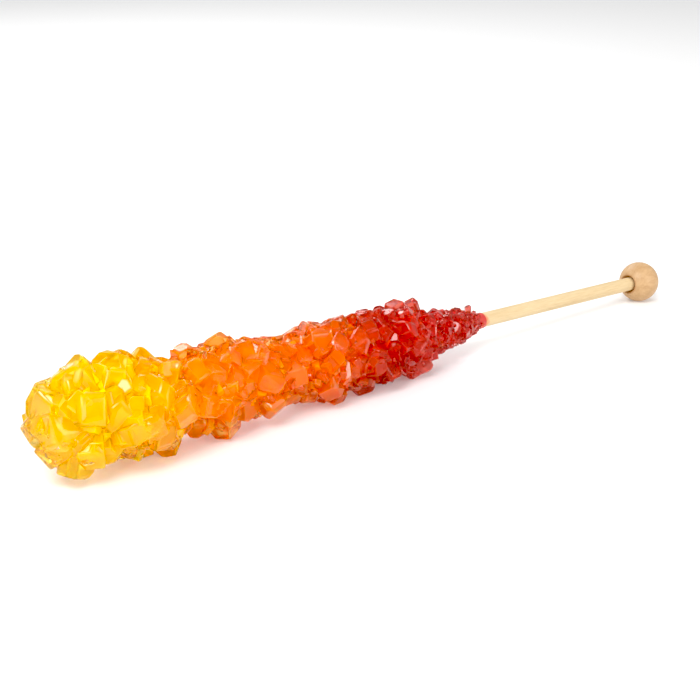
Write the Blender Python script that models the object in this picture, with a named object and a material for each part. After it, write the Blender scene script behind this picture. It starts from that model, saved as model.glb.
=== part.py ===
"""Rock candy stick: sugar crystals grown round a wooden dowel that ends in a turned ball.

The stick lies on its side. Its axis runs along +X, from the candy's blunt tip to the ball,
and dips towards the ball, because the candy is thicker. +Z is up and the table is z = 0.
Lengths are in metres. A station is a distance along the axis from the candy's tip.
"""

import math
import random

import bmesh
import bpy
from mathutils import Matrix, Vector

MM = 0.001

# The stick
OVERALL = 170 * MM
DOWEL_RADIUS = 1.6 * MM
DOWEL_SIDES = 20
BALL_RADIUS = 4.75 * MM
BALL_SQUASH = 0.985
HOLE_DEPTH = 5.5 * MM
RIM_RADIUS = 2.3 * MM
RIM_DEPTH = 0.5 * MM
REST_SPOT = 0.05 * MM
CLEARANCE = 0.3 * MM

# The candy
CANDY_LENGTH = 111 * MM
CAP_CENTRE = 9.5 * MM
COLLAR_LENGTH = 4.5 * MM
COLLAR_RADIUS = 2.15 * MM
BURIED = 102 * MM
CORE_SHARE = 0.62
SEED = 11

# The outline: station, reach above the axis and reach below it, in millimetres
OUTLINE = (
    (0, 9.6, 9.2),
    (12, 11.2, 10.4),
    (18, 11.2, 10.8),
    (27, 10.2, 11.2),
    (31, 8.4, 9.2),
    (35, 9.6, 9.9),
    (40, 9.6, 10.2),
    (44, 9.8, 8.6),
    (50, 8.6, 9.2),
    (56, 7.0, 7.8),
    (65, 9.0, 9.6),
    (78, 9.2, 9.2),
    (88, 8.4, 8.6),
    (95, 5.6, 5.8),
    (102, 4.6, 4.8),
    (108, 3.0, 2.8),
)

# The width of the crystals along the candy: station and width, in millimetres
CRYSTAL_WIDTHS = ((0, 8.2), (28, 7.3), (42, 6.0), (70, 5.1), (85, 4.3), (96, 3.3), (108, 2.3))
CAP_CRYSTAL = 7.6 * MM
SMALL_CRYSTAL = 3.6 * MM
LARGE_CRYSTAL = 5 * MM

# Crystals that stand out: station, angle round the axis, reach and width, in millimetres and degrees
LANDMARKS = (
    (8.5, 242, 10.6, 6.6),
    (14, 62, 11.5, 6.8),
    (20, 64, 10.7, 6.0),
    (26, 66, 10.4, 5.8),
    (26, 245, 10.9, 6.2),
    (39, 246, 11.2, 6.2),
    (20, 287, 11.4, 7.6),
    (35, 60, 9.4, 4.8),
    (43, 62, 9.9, 5.2),
    (49, 228, 8.8, 5.0),
    (36, 140, 9.0, 6.2),
    (66, 243, 9.6, 4.4),
    (87, 62, 8.9, 3.8),
    (92, 66, 8.3, 3.4),
    (87, 240, 8.9, 4.0),
    (108, 62, 4.0, 1.3),
)

# How it lies
AXIS_DIP = math.radians(2.3)
UPPER_ANGLE = math.radians(62)
FOOT_DEPTH = 0.25 * MM
BALL_STATION = OVERALL - BALL_RADIUS * BALL_SQUASH
BALL_HEIGHT = BALL_RADIUS - REST_SPOT


def between(table, station, column=1):
    """A smooth value from a table of stations in millimetres."""
    position = station / MM
    if position <= table[0][0]:
        return table[0][column] * MM
    for low, high in zip(table, table[1:]):
        if position <= high[0]:
            share = (position - low[0]) / (high[0] - low[0])
            share = share * share * (3 - 2 * share)
            return (low[column] + (high[column] - low[column]) * share) * MM
    return table[-1][column] * MM


def reach(station, angle):
    """How far the candy reaches from the axis at a station, in a direction round the axis."""
    upper = between(OUTLINE, station, 1)
    lower = between(OUTLINE, station, 2)
    return (upper + lower) / 2 + (upper - lower) / 2 * math.cos(angle - UPPER_ANGLE)


def outward(angle):
    """The unit vector square to the axis at an angle, with 90 degrees straight up."""
    return Vector((0, math.cos(angle), math.sin(angle)))


def cut(shape, point, normal):
    """Cuts off what lies beyond a plane and closes the cut with one flat face."""
    parts = shape.verts[:] + shape.edges[:] + shape.faces[:]
    found = bmesh.ops.bisect_plane(
        shape, geom=parts, plane_co=point, plane_no=normal, clear_outer=True
    )
    edges = [part for part in found["geom_cut"] if isinstance(part, bmesh.types.BMEdge)]
    if len(edges) > 2:
        bmesh.ops.contextual_create(shape, geom=edges)


def crystal(draw, width):
    """One sugar crystal: a block with a nearly level roof, cut off at a slant, and chamfered corners.

    It stands on the origin and grows along +Z. A small crystal has fewer facets.
    """
    shape = bmesh.new()
    depth = width * draw.uniform(0.5, 0.9)
    length = width * draw.uniform(1.1, 1.5)
    bmesh.ops.create_cube(shape, size=1)
    bmesh.ops.scale(shape, vec=(width, depth, length), verts=shape.verts)
    ridge = draw.uniform(0.0, 0.3) * width
    for side, least, most in ((-1, 2, 18), (1, 32, 58)):
        slope = math.radians(draw.uniform(least, most))
        normal = Vector((side * math.sin(slope), 0, math.cos(slope)))
        cut(shape, Vector((ridge, 0, length * 0.48)), normal)
    size = (width > SMALL_CRYSTAL) + (width > LARGE_CRYSTAL)
    for turn in range((1, 2, 4)[size]):
        angle = math.radians(45 + 90 * turn + draw.uniform(-14, 14))
        normal = Vector((math.cos(angle), math.sin(angle), draw.uniform(-0.1, 0.25)))
        corner = math.hypot(width, depth) / 2
        cut(shape, normal.normalized() * corner * draw.uniform(0.7, 0.95), normal)
    for side in ((), (1,), (-1, 1))[size]:
        slope = math.radians(draw.uniform(30, 60))
        normal = Vector((draw.uniform(-0.2, 0.2), side * math.sin(slope), math.cos(slope)))
        cut(shape, normal.normalized() * length * draw.uniform(0.44, 0.52), normal)
    lean = Matrix.Identity(3)
    lean[0][2] = draw.uniform(-0.22, 0.22)
    bmesh.ops.transform(shape, matrix=lean.to_4x4(), verts=shape.verts)
    return shape


def grow(draw, shape, centre, direction, furthest, tilt):
    """Turns a crystal to grow away from a centre on the axis, until its tip is as far out as asked."""
    turned = direction.to_track_quat("Z", "Y").to_matrix().to_4x4()
    spin = Matrix.Rotation(draw.uniform(0, 2 * math.pi), 4, "Z")
    lean = Matrix.Rotation(tilt * draw.uniform(0.3, 1), 4, "X")
    bmesh.ops.transform(shape, matrix=turned @ spin @ lean, verts=shape.verts)
    bmesh.ops.rotate(
        shape,
        verts=shape.verts,
        matrix=Matrix.Rotation(draw.uniform(0, 2 * math.pi), 3, direction),
    )
    tip = max(vert.co.dot(direction) for vert in shape.verts)
    bmesh.ops.translate(shape, vec=centre + direction * (furthest - tip), verts=shape.verts)


def sites(draw):
    """Every crystal's station, direction from the axis, reach and width."""
    cap = ((0, 1), (46, 6))
    for lean, count in cap:
        start = draw.uniform(0, 2 * math.pi)
        for index in range(count):
            angle = start + 2 * math.pi * (index + draw.uniform(-0.15, 0.15)) / count
            slope = math.radians(lean + draw.uniform(-5, 5))
            direction = -Vector((1, 0, 0)) * math.cos(slope) + outward(angle) * math.sin(slope)
            yield CAP_CENTRE, direction, CAP_CENTRE * draw.uniform(0.97, 1.02), CAP_CRYSTAL
    for station, angle, furthest, width in LANDMARKS:
        yield station * MM, outward(math.radians(angle)), furthest * MM, width * MM
    station = CAP_CENTRE
    while station < CANDY_LENGTH - COLLAR_LENGTH / 2:
        width = between(CRYSTAL_WIDTHS, station)
        around = max(5, round(2 * math.pi * reach(station, 0) * 0.73 / width))
        start = draw.uniform(0, 2 * math.pi)
        for index in range(around):
            angle = start + 2 * math.pi * (index + draw.uniform(-0.22, 0.22)) / around
            place = station + width * draw.uniform(-0.25, 0.25)
            furthest = reach(place, angle) * draw.uniform(0.86, 1.0)
            if clear_of_landmarks(place, angle, width):
                yield place, outward(angle), furthest, width * draw.uniform(0.8, 1.15)
        station += width * 0.8


def clear_of_landmarks(station, angle, width):
    """Whether a crystal here would stay out of the way of those that stand out."""
    for other, degrees, furthest, other_width in LANDMARKS:
        along = station - other * MM
        apart = abs((angle - math.radians(degrees) + math.pi) % (2 * math.pi) - math.pi)
        distance = math.hypot(along, apart * furthest * MM)
        if distance < (width + other_width * MM) * 0.3:
            return False
    return True


def table_normal():
    """Straight up from the table, in the stick's own frame."""
    return Vector((-math.sin(AXIS_DIP), 0, math.cos(AXIS_DIP)))


def height(point):
    """How high a point in the stick's own frame comes to lie above the table."""
    return BALL_HEIGHT + table_normal().dot(point - Vector((BALL_STATION, 0, 0)))


def candy_crystals():
    """All the crystals in one mesh, each a closed block, none of them reaching below the table."""
    draw = random.Random(SEED)
    cluster = bmesh.new()
    for station, direction, furthest, width in sites(draw):
        shape = crystal(draw, width)
        centre = Vector((station, 0, 0))
        grow(draw, shape, centre, direction, furthest, math.radians(42))
        sunk = -FOOT_DEPTH - min(height(vert.co) for vert in shape.verts)
        if sunk > 0:
            bmesh.ops.translate(shape, vec=(0, 0, sunk), verts=shape.verts)
        mesh = bpy.data.meshes.new("crystal")
        shape.to_mesh(mesh)
        shape.free()
        cluster.from_mesh(mesh)
        bpy.data.meshes.remove(mesh)
    return cluster


def turned(profile, sides):
    """A solid of revolution about the X axis from a list of stations and radii."""
    shape = bmesh.new()
    verts = [shape.verts.new((station, 0, radius)) for station, radius in profile]
    edges = [shape.edges.new(pair) for pair in zip(verts, verts[1:])]
    bmesh.ops.spin(
        shape,
        geom=verts + edges,
        axis=(1, 0, 0),
        cent=(0, 0, 0),
        angle=2 * math.pi,
        steps=sides,
        use_merge=True,
    )
    bmesh.ops.remove_doubles(shape, verts=shape.verts, dist=1e-6)
    bmesh.ops.recalc_face_normals(shape, faces=shape.faces)
    return shape


def as_object(name, shape):
    """An object that holds a shape."""
    mesh = bpy.data.meshes.new(name)
    shape.to_mesh(mesh)
    shape.free()
    thing = bpy.data.objects.new(name, mesh)
    bpy.context.scene.collection.objects.link(thing)
    return thing


def finished(thing, colour, roughness, rest):
    """Gives a piece its own material and lays it down with the resting frame."""
    material = bpy.data.materials.new(thing.name)
    material.use_nodes = True
    surface = material.node_tree.nodes["Principled BSDF"]
    surface.inputs["Base Color"].default_value = (*colour, 1)
    surface.inputs["Roughness"].default_value = roughness
    surface.inputs["Metallic"].default_value = 0
    thing.data.materials.append(material)
    thing.parent = rest


def cutter(name, shape, rest):
    """A shape that only takes material away."""
    thing = as_object(name, shape)
    thing.parent = rest
    thing.hide_render = True
    thing.display_type = "WIRE"
    return thing


def boolean(thing, operation, other):
    """Adds an exact Boolean modifier."""
    modifier = thing.modifiers.new(operation.lower(), "BOOLEAN")
    modifier.operation = operation
    modifier.solver = "EXACT"
    modifier.object = other
    modifier.use_self = operation == "UNION"


def outer_skin(shape):
    """Keeps the largest closed skin of a shape and fills the voids sealed inside it."""
    left = set(shape.faces)
    skins = []
    while left:
        front = [left.pop()]
        skin = set(front)
        while front:
            face = front.pop()
            for edge in face.edges:
                for other in edge.link_faces:
                    if other in left:
                        left.discard(other)
                        skin.add(other)
                        front.append(other)
        skins.append(skin)
    largest = max(skins, key=len)
    inner = [face for face in shape.faces if face not in largest]
    bmesh.ops.delete(shape, geom=inner, context="FACES")


def candy_core():
    """The solid sugar under the crystals, running out into the smooth collar on the dowel."""
    profile = [(1.5 * MM, 0)]
    steps = 16
    for step in range(steps + 1):
        station = 4 * MM + step * (CANDY_LENGTH - COLLAR_LENGTH - 4 * MM) / steps
        radius = CORE_SHARE * reach(station, UPPER_ANGLE + math.pi / 2)
        profile.append((station, max(radius, COLLAR_RADIUS + step * 1e-6)))
    profile.append((CANDY_LENGTH - 0.4 * MM, COLLAR_RADIUS))
    profile.append((CANDY_LENGTH, COLLAR_RADIUS - 0.05 * MM))
    profile.append((CANDY_LENGTH, 0))
    return turned(profile, 16)


def make_candy(rest):
    """The crystals grown together with their core, bored for the dowel and flat where they rest."""
    core = as_object("core", candy_core())
    cluster = as_object("cluster", candy_crystals())
    boolean(core, "UNION", cluster)
    evaluated = core.evaluated_get(bpy.context.evaluated_depsgraph_get())
    shape = bmesh.new()
    shape.from_mesh(evaluated.to_mesh())
    for thing in (core, cluster):
        bpy.data.objects.remove(thing)
    outer_skin(shape)
    candy = as_object("candy", shape)
    start = CANDY_LENGTH - BURIED
    bore = ((start, 0), (start, DOWEL_RADIUS + CLEARANCE),
            (OVERALL, DOWEL_RADIUS + CLEARANCE), (OVERALL, 0))
    boolean(candy, "DIFFERENCE", cutter("bore", turned(bore, DOWEL_SIDES), rest))
    slab = bmesh.new()
    bmesh.ops.create_cube(slab, size=1)
    bmesh.ops.scale(slab, vec=(2 * OVERALL, OVERALL, 10 * MM), verts=slab.verts)
    bmesh.ops.rotate(slab, verts=slab.verts, matrix=Matrix.Rotation(-AXIS_DIP, 3, "Y"))
    drop = Vector((BALL_STATION, 0, 0)) - table_normal() * (BALL_HEIGHT + 5 * MM)
    bmesh.ops.translate(slab, vec=drop, verts=slab.verts)
    boolean(candy, "DIFFERENCE", cutter("table", slab, rest))
    finished(candy, (0.95, 0.45, 0.02), 0.12, rest)
    return candy


def make_dowel(rest):
    """The round dowel, buried in the candy at one end and glued into the ball at the other."""
    start = CANDY_LENGTH - BURIED + CLEARANCE
    end = BALL_STATION - BALL_RADIUS * BALL_SQUASH + HOLE_DEPTH - CLEARANCE
    edge = 0.25 * MM
    profile = (
        (start, 0),
        (start, DOWEL_RADIUS - edge),
        (start + edge, DOWEL_RADIUS),
        (end - edge, DOWEL_RADIUS),
        (end, DOWEL_RADIUS - edge),
        (end, 0),
    )
    dowel = as_object("dowel", turned(profile, DOWEL_SIDES))
    finished(dowel, (0.84, 0.69, 0.44), 0.6, rest)
    return dowel


def make_ball(rest):
    """The turned wooden ball, slightly flattened, with a blind hole sunk a little at its rim."""
    front = BALL_STATION - BALL_RADIUS * BALL_SQUASH
    floor = front + HOLE_DEPTH
    hole = DOWEL_RADIUS + CLEARANCE
    profile = [(floor, 0), (floor, hole)]
    steps = 12
    first = math.asin(RIM_RADIUS / BALL_RADIUS)
    rim = BALL_STATION - BALL_RADIUS * BALL_SQUASH * math.cos(first)
    profile.append((rim + RIM_DEPTH, hole))
    for step in range(steps):
        turn = first + (math.pi - first) * step / steps
        along = BALL_STATION - BALL_RADIUS * BALL_SQUASH * math.cos(turn)
        profile.append((along, BALL_RADIUS * math.sin(turn)))
    profile.append((BALL_STATION + BALL_RADIUS * BALL_SQUASH, 0))
    shape = turned(profile, 24)
    below = Vector((BALL_STATION, 0, 0)) - table_normal() * BALL_HEIGHT
    cut(shape, below, -table_normal())
    ball = as_object("ball", shape)
    finished(ball, (0.72, 0.5, 0.28), 0.55, rest)
    return ball


def lay_down(rest, pieces):
    """Tips the stick until it rests, with the middle of its box over the origin."""
    rest.rotation_euler = (0, AXIS_DIP, 0)
    bpy.context.view_layer.update()
    corners = []
    graph = bpy.context.evaluated_depsgraph_get()
    for piece in pieces:
        solid = piece.evaluated_get(graph)
        corners += [solid.matrix_world @ vert.co for vert in solid.data.vertices]
    low = Vector([min(corner[axis] for corner in corners) for axis in range(3)])
    high = Vector([max(corner[axis] for corner in corners) for axis in range(3)])
    middle = (low + high) / 2
    rest.location = (-middle.x, -middle.y, -low.z)


def main():
    for thing in list(bpy.data.objects):
        bpy.data.objects.remove(thing)
    rest = bpy.data.objects.new("rest", None)
    bpy.context.scene.collection.objects.link(rest)
    pieces = [make_candy(rest), make_dowel(rest), make_ball(rest)]
    lay_down(rest, pieces)


main()
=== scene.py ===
import json
import math
import random

import bmesh
import bpy
from mathutils import Matrix, Vector


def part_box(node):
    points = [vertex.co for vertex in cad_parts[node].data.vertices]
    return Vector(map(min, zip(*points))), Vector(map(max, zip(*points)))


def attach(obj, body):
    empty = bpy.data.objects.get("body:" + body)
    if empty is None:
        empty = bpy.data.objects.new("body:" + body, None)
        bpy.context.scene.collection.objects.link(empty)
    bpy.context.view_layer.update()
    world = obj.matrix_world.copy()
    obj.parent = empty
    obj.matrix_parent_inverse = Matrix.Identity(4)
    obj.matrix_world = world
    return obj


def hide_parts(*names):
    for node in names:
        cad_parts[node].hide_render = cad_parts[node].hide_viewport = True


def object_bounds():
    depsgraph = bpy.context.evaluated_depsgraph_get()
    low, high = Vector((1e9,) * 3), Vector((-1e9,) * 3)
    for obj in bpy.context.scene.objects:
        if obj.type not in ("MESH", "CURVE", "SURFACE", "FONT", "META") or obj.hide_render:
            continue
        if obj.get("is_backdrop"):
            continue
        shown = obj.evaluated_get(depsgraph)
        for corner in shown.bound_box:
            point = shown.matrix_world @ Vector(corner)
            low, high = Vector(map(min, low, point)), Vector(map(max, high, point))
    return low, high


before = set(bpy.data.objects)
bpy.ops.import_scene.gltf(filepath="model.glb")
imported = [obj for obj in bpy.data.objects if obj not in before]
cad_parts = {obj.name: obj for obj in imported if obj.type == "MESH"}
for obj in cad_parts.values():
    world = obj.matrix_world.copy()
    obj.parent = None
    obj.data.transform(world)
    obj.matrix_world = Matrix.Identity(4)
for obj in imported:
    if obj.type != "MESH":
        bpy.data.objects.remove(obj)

CAD_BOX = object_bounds()

# ---------------------------------------------------------------------------------------
# How the stick lies. It is made upright along +X, a station being a distance from the
# candy's tip, and then laid down: the ball and the lowest crystals touch the table.
# ---------------------------------------------------------------------------------------

MM = 0.001
OVERALL = 170 * MM
BALL_RADIUS = 4.75 * MM
BALL_SQUASH = 0.985
BALL_STATION = OVERALL - BALL_RADIUS * BALL_SQUASH
REST_SPOT = 0.05 * MM
BALL_HEIGHT = BALL_RADIUS - REST_SPOT
AXIS_DIP = math.radians(2.3)

ball_low, ball_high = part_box("ball")
ball_centre = Vector(
    (ball_high.x - BALL_RADIUS * BALL_SQUASH, (ball_low.y + ball_high.y) / 2, BALL_HEIGHT)
)
LAID = (
    Matrix.Translation(ball_centre)
    @ Matrix.Rotation(AXIS_DIP, 4, "Y")
    @ Matrix.Translation((-BALL_STATION, 0, 0))
)


def laid_piece(name, shape):
    """A finished piece from a shape in the stick's own frame, laid down in its mesh."""
    bmesh.ops.transform(shape, matrix=LAID, verts=shape.verts)
    mesh = bpy.data.meshes.new(name)
    shape.to_mesh(mesh)
    shape.free()
    piece = bpy.data.objects.new(name, mesh)
    bpy.context.scene.collection.objects.link(piece)
    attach(piece, "root")
    return piece


def turned(profile, sides):
    """A solid turned about the stick's axis from a list of stations and radii."""
    shape = bmesh.new()
    verts = [shape.verts.new((station, 0, radius)) for station, radius in profile]
    edges = [shape.edges.new(pair) for pair in zip(verts, verts[1:])]
    bmesh.ops.spin(
        shape,
        geom=verts + edges,
        axis=(1, 0, 0),
        cent=(0, 0, 0),
        angle=2 * math.pi,
        steps=sides,
        use_merge=True,
    )
    bmesh.ops.remove_doubles(shape, verts=shape.verts, dist=1e-6)
    bmesh.ops.recalc_face_normals(shape, faces=shape.faces)
    return shape


def smooth_shaded(piece, degrees):
    """Shades a piece smooth, apart from edges sharper than the angle."""
    piece.data.shade_smooth()
    piece.data.set_sharp_from_angle(angle=math.radians(degrees))


# ---------------------------------------------------------------------------------------
# The dowel. A straight birch stick, planed round, its fine grain running along it. The
# syrup it was dipped in has crept a little way along it past the candy.
# ---------------------------------------------------------------------------------------

DOWEL_RADIUS = 1.6 * MM
CANDY_LENGTH = 111 * MM
BURIED = 102 * MM
HOLE_DEPTH = 5.5 * MM
CLEARANCE = 0.3 * MM


class Wire:
    """A shader socket that can be written in a sum, with the numbers beside it."""

    def __init__(self, tree, socket):
        self.tree = tree
        self.socket = socket

    def node(self, kind, settings=None, result=0, **values):
        """The output of a new node, from its type, its settings and the values of its sockets."""
        made = self.tree.nodes.new(kind)
        for name, value in (settings or {}).items():
            if name == "stops":
                shape_ramp(made.color_ramp, value)
            else:
                setattr(made, name, value)
        for name, value in values.items():
            key = int(name[1:]) if name[1:].isdigit() else name.replace("_", " ")
            self.connect(made.inputs[key], value)
        return Wire(self.tree, made.outputs[result])

    def connect(self, socket, value):
        """Puts a wire or a plain value into a socket."""
        if isinstance(value, Wire):
            self.tree.links.new(value.socket, socket)
        else:
            socket.default_value = value

    def maths(self, operation, first, second=0.0):
        return self.node("ShaderNodeMath", {"operation": operation}, i0=first, i1=second)

    def __add__(self, other):
        return self.maths("ADD", self, other)

    def __radd__(self, other):
        return self.maths("ADD", other, self)

    def __sub__(self, other):
        return self.maths("SUBTRACT", self, other)

    def __rsub__(self, other):
        return self.maths("SUBTRACT", other, self)

    def __mul__(self, other):
        return self.maths("MULTIPLY", self, other)

    def __rmul__(self, other):
        return self.maths("MULTIPLY", other, self)

    def __truediv__(self, other):
        return self.maths("DIVIDE", self, other)

    def __pow__(self, other):
        return self.maths("POWER", self, other)

    def clamped(self):
        """The value held between 0 and 1."""
        return self.node("ShaderNodeClamp", i0=self)

    def step(self, low, high):
        """0 below the low value, 1 above the high one, and smooth between them."""
        return self.node(
            "ShaderNodeMapRange", {"interpolation_type": "SMOOTHSTEP"}, i0=self, i1=low, i2=high
        )

    def mixed(self, first, second):
        """One colour where this value is 0, the other where it is 1."""
        return self.node("ShaderNodeMix", {"data_type": "RGBA"}, result=2, i0=self, i6=first, i7=second)

    def ramp(self, stops):
        """A colour from a list of places and colours."""
        return self.node("ShaderNodeValToRGB", {"stops": stops}, i0=self)


def shape_ramp(ramp, stops):
    """Gives a colour ramp its stops."""
    while len(ramp.elements) < len(stops):
        ramp.elements.new(1)
    for element, (place, colour) in zip(ramp.elements, stops):
        element.position = place
        element.color = (*colour, 1)


def material(name):
    """An empty material, as a wire to build on and the socket of its surface."""
    made = bpy.data.materials.new(name)
    made.use_nodes = True
    made.node_tree.nodes.clear()
    output = made.node_tree.nodes.new("ShaderNodeOutputMaterial")
    return made, Wire(made.node_tree, None), output.inputs["Surface"]


def linear(red, green, blue):
    """A shader colour from the 0 to 255 values that a paint chart gives."""
    def channel(value):
        value /= 255
        return value / 12.92 if value <= 0.04045 else ((value + 0.055) / 1.055) ** 2.4
    return tuple(channel(value) for value in (red, green, blue))


def opaque(red, green, blue):
    """The same with full alpha, for a socket."""
    return (*linear(red, green, blue), 1)


def along_stick(kit):
    """Coordinates in the stick's own frame: station, and across it, in metres."""
    place = kit.node("ShaderNodeTexCoord", result=3)
    back = LAID.inverted()
    return kit.node(
        "ShaderNodeMapping",
        i0=place,
        i1=tuple(back.to_translation()),
        i2=tuple(back.to_euler()),
    )


def wood(name, pale, dark, grain, across, turns):
    """Bare wood: a pale ground, fine long fibres, broader bands, and pores as tiny dents."""
    made, kit, surface = material(name)
    place = along_stick(kit)
    stretch = kit.node("ShaderNodeVectorMath", {"operation": "MULTIPLY"}, i0=place, i1=grain)
    fibres = kit.node("ShaderNodeTexNoise", i0=stretch, Scale=1.0, Detail=5.0, Roughness=0.65)
    wide = kit.node("ShaderNodeVectorMath", {"operation": "MULTIPLY"}, i0=place, i1=across)
    bands = kit.node("ShaderNodeTexNoise", i0=wide, Scale=1.0, Detail=2.0, Distortion=turns)
    shade = (fibres.step(0.3, 0.72) * 0.55 + bands.step(0.35, 0.7) * 0.45).clamped()
    pores = fibres.step(0.62, 0.74)
    height = fibres * 0.5 - pores * 0.6
    bump = kit.node("ShaderNodeBump", Strength=0.35, Distance=0.00006, Height=height)
    return made, kit, surface, place, shade.mixed(opaque(*pale), opaque(*dark)), pores, bump


def dowel_material():
    """Pale birch, stained by red syrup that soaked in beside the collar."""
    made, kit, surface, place, colour, pores, bump = wood(
        "birch dowel", (220, 197, 156), (202, 174, 130), (260, 4200, 4200), (30, 700, 700), 0.6
    )
    station = kit.node("ShaderNodeSeparateXYZ", i0=place)
    soaked = kit.node("ShaderNodeTexNoise", i0=place, Scale=900.0, Detail=3.0)
    edge = station + soaked * (2.2 * MM)
    stain = edge.step(CANDY_LENGTH + 2.0 * MM, CANDY_LENGTH + 0.9 * MM)
    colour = (stain * 0.8).mixed(colour, opaque(226, 104, 62))
    bsdf = kit.node(
        "ShaderNodeBsdfPrincipled",
        Base_Color=colour,
        Roughness=0.55 + pores * 0.15,
        Normal=bump,
    )
    kit.tree.links.new(bsdf.socket, surface)
    return made


dowel_start = CANDY_LENGTH - BURIED + CLEARANCE
dowel_end = BALL_STATION - BALL_RADIUS * BALL_SQUASH + HOLE_DEPTH - CLEARANCE
dowel_edge = 0.2 * MM
dowel_profile = [(dowel_start, 0), (dowel_start, DOWEL_RADIUS - dowel_edge)]
dowel_profile += [
    (dowel_start + dowel_edge + (dowel_end - dowel_start - 2 * dowel_edge) * step / 40, DOWEL_RADIUS)
    for step in range(41)
]
dowel_profile += [(dowel_end, DOWEL_RADIUS - dowel_edge), (dowel_end, 0)]
dowel_shape = turned(dowel_profile, 48)
dowel = laid_piece("dowel_birch", dowel_shape)
smooth_shaded(dowel, 30)
dowel.data.materials.append(dowel_material())
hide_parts("dowel")


# ---------------------------------------------------------------------------------------
# The ball. A knob turned from a darker wood and sanded, a little flat along the stick. Its
# blind hole has painted shade round its countersunk rim, and the dowel is pushed in dry.
# ---------------------------------------------------------------------------------------

RIM_RADIUS = 2.3 * MM
RIM_DEPTH = 0.5 * MM


def ball_material():
    """Turned wood: rings of grain across the stick, and painted shade round the hole's rim."""
    made, kit, surface, place, colour, pores, bump = wood(
        "turned ball", (202, 166, 124), (182, 143, 100), (500, 2600, 1500), (160, 420, 700), 1.2
    )
    parts = place.node("ShaderNodeVectorMath", {"operation": "MULTIPLY"}, i0=place, i1=(0, 1, 1))
    radius = kit.node("ShaderNodeVectorMath", {"operation": "LENGTH"}, result=1, i0=parts)
    station = kit.node("ShaderNodeSeparateXYZ", i0=place)
    # Painted shade: a darker ring on the front of the ball round the hole's countersunk rim
    painted_rim_shade = radius.step(RIM_RADIUS + 0.3 * MM, RIM_RADIUS - 0.2 * MM)
    front = station.step(BALL_STATION, BALL_STATION - 2 * MM)
    colour = (painted_rim_shade * front).mixed(colour, opaque(168, 124, 84))
    bsdf = kit.node(
        "ShaderNodeBsdfPrincipled",
        Base_Color=colour,
        Roughness=0.48 + pores * 0.15,
        Normal=bump,
    )
    kit.tree.links.new(bsdf.socket, surface)
    return made


ball_front = BALL_STATION - BALL_RADIUS * BALL_SQUASH
hole = DOWEL_RADIUS + 0.04 * MM
first_turn = math.asin(RIM_RADIUS / BALL_RADIUS)
rim = BALL_STATION - BALL_RADIUS * BALL_SQUASH * math.cos(first_turn)
ball_profile = [(ball_front + HOLE_DEPTH, 0), (ball_front + HOLE_DEPTH, hole)]
ball_profile += [(rim + RIM_DEPTH * 1.6, hole), (rim + RIM_DEPTH, hole + 0.08 * MM)]
ball_profile += [(rim + 0.15 * MM, RIM_RADIUS - 0.3 * MM), (rim - 0.02 * MM, RIM_RADIUS - 0.08 * MM)]
for step in range(1, 40):
    turn = first_turn + (math.pi - first_turn) * step / 40
    along = BALL_STATION - BALL_RADIUS * BALL_SQUASH * math.cos(turn)
    ball_profile.append((along, BALL_RADIUS * math.sin(turn)))
ball_profile.append((BALL_STATION + BALL_RADIUS * BALL_SQUASH, 0))
ball_shape = turned(ball_profile, 72)
for vert in ball_shape.verts:
    laid = LAID @ vert.co
    if laid.z < 0:
        vert.co -= LAID.to_3x3().inverted() @ Vector((0, 0, laid.z))
ball = laid_piece("ball_turned", ball_shape)
smooth_shaded(ball, 40)
ball.data.materials.append(ball_material())
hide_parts("ball")


# ---------------------------------------------------------------------------------------
# The crystals. Sugar grown from hot dyed syrup: leaning blocks with chamfered sides and
# slanting roofs, rooted in each other, large and blunt at the tip, small at the collar.
# ---------------------------------------------------------------------------------------

COLLAR_LENGTH = 4.5 * MM
CAP_CENTRE = 9.5 * MM
CAP_CRYSTAL = 7.6 * MM
SMALL_CRYSTAL = 3.6 * MM
LARGE_CRYSTAL = 5 * MM
FOOT_DEPTH = 0.25 * MM
UPPER_ANGLE = math.radians(62)
SEED = 11

# The outline: station, reach above the axis and reach below it, in millimetres
OUTLINE = (
    (0, 9.6, 9.2),
    (12, 11.2, 10.4),
    (18, 11.2, 10.8),
    (27, 10.2, 11.2),
    (31, 8.4, 9.2),
    (35, 9.6, 9.9),
    (40, 9.6, 10.2),
    (44, 9.8, 8.6),
    (50, 8.6, 9.2),
    (56, 7.0, 7.8),
    (65, 9.0, 9.6),
    (78, 9.2, 9.2),
    (88, 8.4, 8.6),
    (95, 5.6, 5.8),
    (102, 4.6, 4.8),
    (108, 3.0, 2.8),
)

# The width of the crystals along the candy: station and width, in millimetres
CRYSTAL_WIDTHS = ((0, 8.2), (28, 7.3), (42, 6.0), (70, 5.1), (85, 4.3), (96, 3.3), (108, 2.3))

# Crystals that stand out: station, angle round the axis, reach and width, in millimetres and degrees
LANDMARKS = (
    (8.5, 242, 10.6, 6.6),
    (14, 62, 11.5, 6.8),
    (20, 64, 10.7, 6.0),
    (26, 66, 10.4, 5.8),
    (26, 245, 10.9, 6.2),
    (39, 246, 11.2, 6.2),
    (20, 287, 11.4, 7.6),
    (35, 60, 9.4, 4.8),
    (43, 62, 9.9, 5.2),
    (49, 228, 8.8, 5.0),
    (36, 140, 9.0, 6.2),
    (66, 243, 9.6, 4.4),
    (87, 62, 8.9, 3.8),
    (92, 66, 8.3, 3.4),
    (87, 240, 8.9, 4.0),
    (108, 62, 4.0, 1.3),
)


def between(table, station, column=1):
    """A smooth value from a table of stations in millimetres."""
    position = station / MM
    if position <= table[0][0]:
        return table[0][column] * MM
    for low, high in zip(table, table[1:]):
        if position <= high[0]:
            share = (position - low[0]) / (high[0] - low[0])
            share = share * share * (3 - 2 * share)
            return (low[column] + (high[column] - low[column]) * share) * MM
    return table[-1][column] * MM


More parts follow.
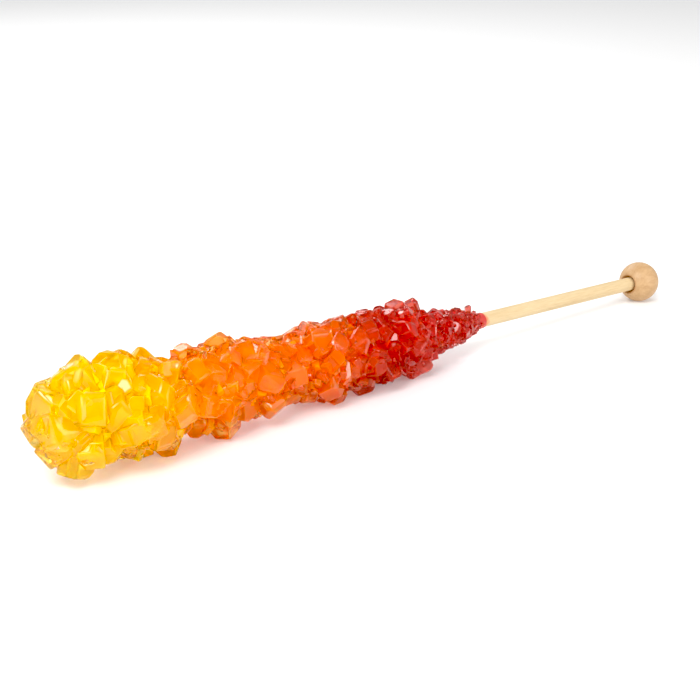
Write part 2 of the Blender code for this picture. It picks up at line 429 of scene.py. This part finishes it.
def reach(station, angle):
    """How far the candy reaches from the axis at a station, in a direction round the axis."""
    upper = between(OUTLINE, station, 1)
    lower = between(OUTLINE, station, 2)
    return (upper + lower) / 2 + (upper - lower) / 2 * math.cos(angle - UPPER_ANGLE)


def outward(angle):
    """The unit vector square to the axis at an angle, with 90 degrees straight up."""
    return Vector((0, math.cos(angle), math.sin(angle)))


def cut(shape, point, normal):
    """Cuts off what lies beyond a plane and closes the cut with one flat face."""
    parts = shape.verts[:] + shape.edges[:] + shape.faces[:]
    found = bmesh.ops.bisect_plane(
        shape, geom=parts, plane_co=point, plane_no=normal, clear_outer=True
    )
    edges = [part for part in found["geom_cut"] if isinstance(part, bmesh.types.BMEdge)]
    if len(edges) > 2:
        bmesh.ops.contextual_create(shape, geom=edges)


def crystal(draw, width):
    """One sugar crystal: a block with a nearly level roof, cut off at a slant, and chamfered corners.

    It stands on the origin and grows along +Z. A small crystal has fewer facets.
    """
    shape = bmesh.new()
    depth = width * draw.uniform(0.5, 0.9)
    length = width * draw.uniform(1.1, 1.5)
    bmesh.ops.create_cube(shape, size=1)
    bmesh.ops.scale(shape, vec=(width, depth, length), verts=shape.verts)
    ridge = draw.uniform(0.0, 0.3) * width
    for side, least, most in ((-1, 2, 18), (1, 32, 58)):
        slope = math.radians(draw.uniform(least, most))
        normal = Vector((side * math.sin(slope), 0, math.cos(slope)))
        cut(shape, Vector((ridge, 0, length * 0.48)), normal)
    size = (width > SMALL_CRYSTAL) + (width > LARGE_CRYSTAL)
    for turn in range((1, 2, 4)[size]):
        angle = math.radians(45 + 90 * turn + draw.uniform(-14, 14))
        normal = Vector((math.cos(angle), math.sin(angle), draw.uniform(-0.1, 0.25)))
        corner = math.hypot(width, depth) / 2
        cut(shape, normal.normalized() * corner * draw.uniform(0.7, 0.95), normal)
    for side in ((), (1,), (-1, 1))[size]:
        slope = math.radians(draw.uniform(30, 60))
        normal = Vector((draw.uniform(-0.2, 0.2), side * math.sin(slope), math.cos(slope)))
        cut(shape, normal.normalized() * length * draw.uniform(0.44, 0.52), normal)
    lean = Matrix.Identity(3)
    lean[0][2] = draw.uniform(-0.22, 0.22)
    bmesh.ops.transform(shape, matrix=lean.to_4x4(), verts=shape.verts)
    return shape


def grow(draw, shape, centre, direction, furthest, tilt):
    """Turns a crystal to grow away from a centre on the axis, until its tip is as far out as asked."""
    turned_out = direction.to_track_quat("Z", "Y").to_matrix().to_4x4()
    spin = Matrix.Rotation(draw.uniform(0, 2 * math.pi), 4, "Z")
    lean = Matrix.Rotation(tilt * draw.uniform(0.3, 1), 4, "X")
    bmesh.ops.transform(shape, matrix=turned_out @ spin @ lean, verts=shape.verts)
    bmesh.ops.rotate(
        shape,
        verts=shape.verts,
        matrix=Matrix.Rotation(draw.uniform(0, 2 * math.pi), 3, direction),
    )
    tip = max(vert.co.dot(direction) for vert in shape.verts)
    bmesh.ops.translate(shape, vec=centre + direction * (furthest - tip), verts=shape.verts)


def sites(draw):
    """Every main crystal's station, direction from the axis, reach and width."""
    cap = ((0, 1), (46, 6))
    for lean, count in cap:
        start = draw.uniform(0, 2 * math.pi)
        for index in range(count):
            angle = start + 2 * math.pi * (index + draw.uniform(-0.15, 0.15)) / count
            slope = math.radians(lean + draw.uniform(-5, 5))
            direction = -Vector((1, 0, 0)) * math.cos(slope) + outward(angle) * math.sin(slope)
            yield CAP_CENTRE, direction, CAP_CENTRE * draw.uniform(0.97, 1.02), CAP_CRYSTAL
    for station, angle, furthest, width in LANDMARKS:
        yield station * MM, outward(math.radians(angle)), furthest * MM, width * MM
    station = CAP_CENTRE
    while station < CANDY_LENGTH - COLLAR_LENGTH / 2:
        width = between(CRYSTAL_WIDTHS, station)
        around = max(5, round(2 * math.pi * reach(station, 0) * 0.73 / width))
        start = draw.uniform(0, 2 * math.pi)
        for index in range(around):
            angle = start + 2 * math.pi * (index + draw.uniform(-0.22, 0.22)) / around
            place = station + width * draw.uniform(-0.25, 0.25)
            furthest = reach(place, angle) * draw.uniform(0.86, 1.0)
            if clear_of_landmarks(place, angle, width):
                yield place, outward(angle), furthest, width * draw.uniform(0.8, 1.15)
        station += width * 0.8


def clear_of_landmarks(station, angle, width):
    """Whether a crystal here would stay out of the way of those that stand out."""
    for other, degrees, furthest, other_width in LANDMARKS:
        along = station - other * MM
        apart = abs((angle - math.radians(degrees) + math.pi) % (2 * math.pi) - math.pi)
        distance = math.hypot(along, apart * furthest * MM)
        if distance < (width + other_width * MM) * 0.3:
            return False
    return True


def lifted(shape, allowed):
    """Lifts a crystal off the table's far side, as far down as its foot may be ground flat."""
    up = LAID.to_3x3().inverted() @ Vector((0, 0, 1))
    sunk = -allowed - min((LAID @ vert.co).z for vert in shape.verts)
    if sunk > 0:
        bmesh.ops.translate(shape, vec=(0, 0, sunk), verts=shape.verts)
    cut(shape, LAID.inverted() @ Vector((0, 0, 0)), -up)


def rounded(shape, width, segments):
    """Takes the sharpness off a crystal's edges, or leaves them where the corners are too tight."""
    bmesh.ops.remove_doubles(shape, verts=shape.verts, dist=width)
    furthest = max(vert.co.length for vert in shape.verts)
    softer = shape.copy()
    found = bmesh.ops.bevel(
        softer,
        geom=softer.edges[:],
        affect="EDGES",
        offset=width,
        offset_type="OFFSET",
        segments=segments,
        profile=0.5,
        clamp_overlap=True,
        material=-1,
    )
    for face in found["faces"]:
        face.smooth = True
    if max(vert.co.length for vert in softer.verts) > furthest:
        softer.free()
        return shape
    shape.free()
    return softer


def terraced(shape, looks, width):
    """Steps some of a crystal's large faces, as sugar grows layer on layer."""
    large = [face for face in shape.faces if face.calc_area() > (0.3 * width) ** 2]
    for face in large:
        for layer in range(looks.choice((0, 1, 1, 2))):
            bmesh.ops.inset_individual(
                shape,
                faces=[face],
                thickness=width * looks.uniform(0.04, 0.11),
                depth=width * looks.choice((-0.03, -0.018, 0.018)),
            )


def united(first, second):
    """Two closed shapes grown into one, kept in the first's object."""
    union = first.modifiers.new("union", "BOOLEAN")
    union.operation = "UNION"
    union.solver = "MANIFOLD"
    union.object = second
    graph = bpy.context.evaluated_depsgraph_get()
    grown = bpy.data.meshes.new_from_object(first.evaluated_get(graph))
    first.modifiers.clear()
    for mesh in (first.data, second.data):
        if mesh is first.data:
            first.data = grown
        else:
            bpy.data.objects.remove(second)
        bpy.data.meshes.remove(mesh)
    return first


def outer_skin(shape):
    """Keeps the largest closed skin of a shape and fills the voids sealed inside it."""
    left = set(shape.faces)
    skins = []
    while left:
        front = [left.pop()]
        skin = set(front)
        while front:
            face = front.pop()
            for edge in face.edges:
                for other in edge.link_faces:
                    if other in left:
                        left.discard(other)
                        skin.add(other)
                        front.append(other)
        skins.append(skin)
    largest = max(skins, key=len)
    inner = [face for face in shape.faces if face not in largest]
    bmesh.ops.delete(shape, geom=inner, context="FACES")


class Cluster:
    """Crystals grown into one another, each with its own place in the dye and its clarity.

    A new crystal is united with a lot of the same size, so that most unions are of few faces.
    """

    def __init__(self):
        self.lots = []

    def add(self, shape, dye, clear):
        dye_layer = shape.faces.layers.float.new("dye")
        clear_layer = shape.faces.layers.float.new("clear")
        for face in shape.faces:
            face[dye_layer] = face.calc_center_median().x / CANDY_LENGTH if dye is None else dye
            face[clear_layer] = clear
        mesh = bpy.data.meshes.new("crystal")
        shape.to_mesh(mesh)
        shape.free()
        lot = bpy.data.objects.new("crystal", mesh)
        bpy.context.scene.collection.objects.link(lot)
        count = 1
        while self.lots and self.lots[-1][0] == count:
            lot = united(self.lots.pop()[1], lot)
            count *= 2
        self.lots.append((count, lot))

    def whole(self):
        """The shape of all the crystals together."""
        lot = self.lots.pop()[1]
        while self.lots:
            lot = united(self.lots.pop()[1], lot)
        shape = bmesh.new()
        shape.from_mesh(lot.data)
        bpy.data.objects.remove(lot)
        outer_skin(shape)
        return shape


def middle_share(shape):
    """How far along the candy the middle of a crystal is, from 0 to 1."""
    return sum(vert.co.x for vert in shape.verts) / len(shape.verts) / CANDY_LENGTH


def gap_sites(draw):
    """The places of the smaller crystals that fill the gaps between the main ones."""
    for index in range(26):
        angle = draw.uniform(0, 2 * math.pi)
        slope = math.acos(draw.uniform(0, 1))
        direction = -Vector((1, 0, 0)) * math.cos(slope) + outward(angle) * math.sin(slope)
        yield CAP_CENTRE, direction, CAP_CENTRE * draw.uniform(0.86, 0.98), 4.2 * MM
    station = CAP_CENTRE
    while station < CANDY_LENGTH - COLLAR_LENGTH * 0.4:
        width = between(CRYSTAL_WIDTHS, station) * 0.5
        around = max(6, round(2 * math.pi * reach(station, 0) * 0.7 / width))
        start = draw.uniform(0, 2 * math.pi)
        for index in range(around):
            angle = start + 2 * math.pi * (index + draw.uniform(-0.3, 0.3)) / around
            place = station + width * draw.uniform(-0.4, 0.4)
            furthest = reach(place, angle) * draw.uniform(0.72, 0.93)
            yield place, outward(angle), furthest, width * draw.uniform(0.6, 1.3)
        station += width * 0.7


def planted(cluster, sites, draw, lean, foot):
    """Grows a crystal at each site, softens its edges, steps its faces and adds it to a cluster."""
    for station, direction, furthest, width in sites:
        shape = crystal(draw, width)
        root = Vector((station, 0, 0))
        grow(draw, shape, root, direction, furthest, lean)
        lifted(shape, foot)
        dye = middle_share(shape) + looks.gauss(0, 0.012)
        bmesh.ops.translate(shape, vec=-root, verts=shape.verts)
        segments = 2 if width > SMALL_CRYSTAL else 1
        shape = rounded(shape, width * looks.uniform(0.03, 0.06), segments)
        bmesh.ops.translate(shape, vec=root, verts=shape.verts)
        terraced(shape, looks, width)
        cluster.add(shape, dye, looks.random())


draw = random.Random(SEED)
looks = random.Random(SEED + 1)
outer_crystals = Cluster()
planted(outer_crystals, sites(draw), draw, math.radians(42), FOOT_DEPTH)
planted(outer_crystals, gap_sites(looks), looks, math.radians(60), 0)


# The dye along the candy: share of its length, colour in a thick mass and in a thin crystal
DYE = (
    (0.00, (248, 210, 0), (255, 233, 60)),
    (0.17, (250, 216, 0), (255, 235, 66)),
    (0.24, (247, 186, 0), (255, 232, 85)),
    (0.31, (246, 160, 6), (255, 222, 115)),
    (0.42, (242, 146, 14), (255, 212, 130)),
    (0.60, (236, 124, 20), (255, 200, 145)),
    (0.68, (216, 72, 16), (250, 156, 112)),
    (0.74, (204, 44, 18), (246, 130, 104)),
    (0.79, (218, 76, 54), (254, 156, 138)),
    (0.84, (208, 60, 50), (252, 142, 128)),
    (1.00, (198, 76, 72), (252, 160, 148)),
)


def sugar_material(name, least_clear, most_clear):
    """Dyed sugar: light wanders inside it, and its wet faces are glossy."""
    made, kit, surface = material(name)
    place = along_stick(kit)
    station = kit.node("ShaderNodeSeparateXYZ", i0=place)
    own = kit.node("ShaderNodeAttribute", {"attribute_name": "dye"}, result=2)
    clear = kit.node("ShaderNodeAttribute", {"attribute_name": "clear"}, result=2)
    share = own * 0.75 + station * (0.25 / CANDY_LENGTH)
    thick = share.ramp([(place, linear(*colour)) for place, colour, _ in DYE])
    thin = share.ramp([(place, linear(*colour)) for place, _, colour in DYE])
    # Painted highlight: the clearest crystals get a pale, near-white thin colour that stands in for
    # glints on their flat faces
    pale = clear.step(0.86, 0.9) * 0.7
    thin = pale.mixed(thin, opaque(255, 236, 214))
    scratches = kit.node("ShaderNodeTexNoise", i0=place, Scale=1400.0, Detail=4.0)
    bump = kit.node("ShaderNodeBump", Strength=0.25, Distance=0.00008, Height=scratches)
    cloudy = kit.node(
        "ShaderNodeBsdfPrincipled",
        Base_Color=thick,
        Roughness=0.16 + scratches * 0.1,
        Normal=bump,
        Subsurface_Weight=0.8,
        Subsurface_Radius=(1.0, 1.0, 0.4),
        Subsurface_Scale=0.0025,
        IOR=1.5,
    )
    glassy = kit.node(
        "ShaderNodeBsdfPrincipled",
        Base_Color=thin,
        Roughness=0.08,
        Normal=bump,
        Transmission_Weight=1.0,
        IOR=1.5,
    )
    clarity = least_clear + clear * (most_clear - least_clear)
    mix = kit.node("ShaderNodeMixShader", i0=clarity, i1=cloudy, i2=glassy)
    kit.tree.links.new(mix.socket, surface)
    return made


crystals = laid_piece("crystals", outer_crystals.whole())
crystals.data.materials.clear()
crystals.data.materials.append(sugar_material("clear sugar", 0.55, 0.95))
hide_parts("candy")


# ---------------------------------------------------------------------------------------
# The sugar core. The crystals are rooted in a solid mass of sugar that hides the dowel, and
# it runs out into a thin smooth film of red syrup that has set on the bare wood.
# ---------------------------------------------------------------------------------------

CORE_SHARE = 0.62
COLLAR_RADIUS = DOWEL_RADIUS + 0.22 * MM

core_profile = []
for step in range(12):
    turn = math.radians(90 * step / 12)
    radius = CORE_SHARE * CAP_CENTRE
    core_profile.append((CAP_CENTRE - radius * math.cos(turn), radius * math.sin(turn)))
for step in range(41):
    station = CAP_CENTRE + step * (CANDY_LENGTH - COLLAR_LENGTH - CAP_CENTRE) / 40
    radius = CORE_SHARE * reach(station, UPPER_ANGLE + math.pi / 2)
    core_profile.append((station, max(radius, COLLAR_RADIUS + 0.1 * MM)))
core_profile.append((CANDY_LENGTH - 2 * MM, COLLAR_RADIUS))
core_profile.append((CANDY_LENGTH - 0.2 * MM, COLLAR_RADIUS - 0.05 * MM))
core_profile.append((CANDY_LENGTH, DOWEL_RADIUS + 0.04 * MM))
core_profile.append((CANDY_LENGTH, 0))


def root_sites(draw):
    """The places of the roots of the crystals, which break up the core's skin."""
    for index in range(16):
        angle = draw.uniform(0, 2 * math.pi)
        slope = math.acos(draw.uniform(0, 1))
        direction = -Vector((1, 0, 0)) * math.cos(slope) + outward(angle) * math.sin(slope)
        yield CAP_CENTRE, direction, CAP_CENTRE * draw.uniform(0.6, 0.72), 3.6 * MM
    station = CAP_CENTRE
    while station < CANDY_LENGTH - COLLAR_LENGTH:
        width = between(CRYSTAL_WIDTHS, station) * 0.5
        around = max(6, round(2 * math.pi * reach(station, 0) * 0.7 / width))
        start = draw.uniform(0, 2 * math.pi)
        for index in range(around):
            angle = start + 2 * math.pi * (index + draw.uniform(-0.3, 0.3)) / around
            furthest = reach(station, angle) * draw.uniform(0.62, 0.78)
            yield station, outward(angle), furthest, width * draw.uniform(0.7, 1.4)
        station += width * 0.8


inner_crystals = Cluster()
inner_crystals.add(turned(core_profile, 48), None, 0.0)
for station, direction, furthest, width in root_sites(looks):
    shape = crystal(looks, width)
    grow(looks, shape, Vector((station, 0, 0)), direction, furthest, math.radians(60))
    inner_crystals.add(shape, middle_share(shape) + looks.gauss(0, 0.015), looks.random())
core = laid_piece("sugar_core", inner_crystals.whole())
core.data.materials.clear()
core.data.materials.append(sugar_material("cloudy sugar", 0.0, 0.0))
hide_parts("candy")


# ---------------------------------------------------------------------------------------
# The table, the light and the camera. A plain pale table that glows a little, under large
# soft lamps, seen from the candy's end and a little above.
# ---------------------------------------------------------------------------------------

TABLE_GLOW = 0.2

table_shape = bmesh.new()
bmesh.ops.create_grid(table_shape, size=20)
table_mesh = bpy.data.meshes.new("table")
table_shape.to_mesh(table_mesh)
table_shape.free()
table = bpy.data.objects.new("table", table_mesh)
bpy.context.scene.collection.objects.link(table)
made, kit, surface = material("pale table")
bsdf = kit.node(
    "ShaderNodeBsdfPrincipled",
    Base_Color=(0.75, 0.75, 0.75, 1),
    Roughness=0.6,
    Emission_Color=(1, 1, 1, 1),
    Emission_Strength=TABLE_GLOW,
)
kit.tree.links.new(bsdf.socket, surface)
table_mesh.materials.append(made)
table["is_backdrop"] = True

world = bpy.data.worlds.new("soft room")
bpy.context.scene.world = world
world.use_nodes = True
world.node_tree.nodes["Background"].inputs["Color"].default_value = (1, 1, 1, 1)
world.node_tree.nodes["Background"].inputs["Strength"].default_value = 0.6


def aimed(thing, place, target):
    """Puts a lamp or the camera in place and turns it to its target."""
    thing.location = place
    thing.rotation_euler = (target - place).to_track_quat("-Z", "Y").to_euler()
    bpy.context.scene.collection.objects.link(thing)


def soft_lamp(name, place, size, power):
    """A square soft lamp aimed at the candy."""
    lamp = bpy.data.lights.new(name, "AREA")
    lamp.size = size
    lamp.energy = power
    aimed(bpy.data.objects.new(name, lamp), Vector(place), Vector((0, 0, 0.01)))


soft_lamp("key lamp", (-0.35, -0.20, 0.50), 0.30, 3.2)
soft_lamp("fill lamp", (0.20, -0.45, 0.20), 0.30, 1.0)
soft_lamp("rim lamp", (0.15, 0.45, 0.40), 0.25, 1.4)

BLACK_LEVEL = 0.038
CAMERA_AZIMUTH = math.radians(-40)
CAMERA_ELEVATION = math.radians(20.5)
CAMERA_DISTANCE = 0.29
camera_data = bpy.data.cameras.new("camera")
camera_data.lens = 73
camera_data.clip_start = 0.005
camera = bpy.data.objects.new("camera", camera_data)
target = Vector((-0.012, 0, 0.009))
level = Vector((math.sin(CAMERA_AZIMUTH), -math.cos(CAMERA_AZIMUTH), 0))
towards = level * math.cos(CAMERA_ELEVATION) + Vector((0, 0, math.sin(CAMERA_ELEVATION)))
aimed(camera, target + towards * CAMERA_DISTANCE, target)
bpy.context.scene.camera = camera
view = bpy.context.scene.view_settings
view.view_transform = "Standard"
view.use_curve_mapping = True
view.curve_mapping.black_level = (BLACK_LEVEL, BLACK_LEVEL, BLACK_LEVEL)

# Light passes from crystal to crystal many times before it leaves the sugar
cycles = bpy.context.scene.cycles
cycles.blur_glossy = 0
cycles.max_bounces = 32
cycles.transmission_bounces = 32
cycles.diffuse_bounces = 16
cycles.glossy_bounces = 8

for box in (CAD_BOX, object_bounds()):
    json.dumps([list(corner) for corner in box]) + "\n"
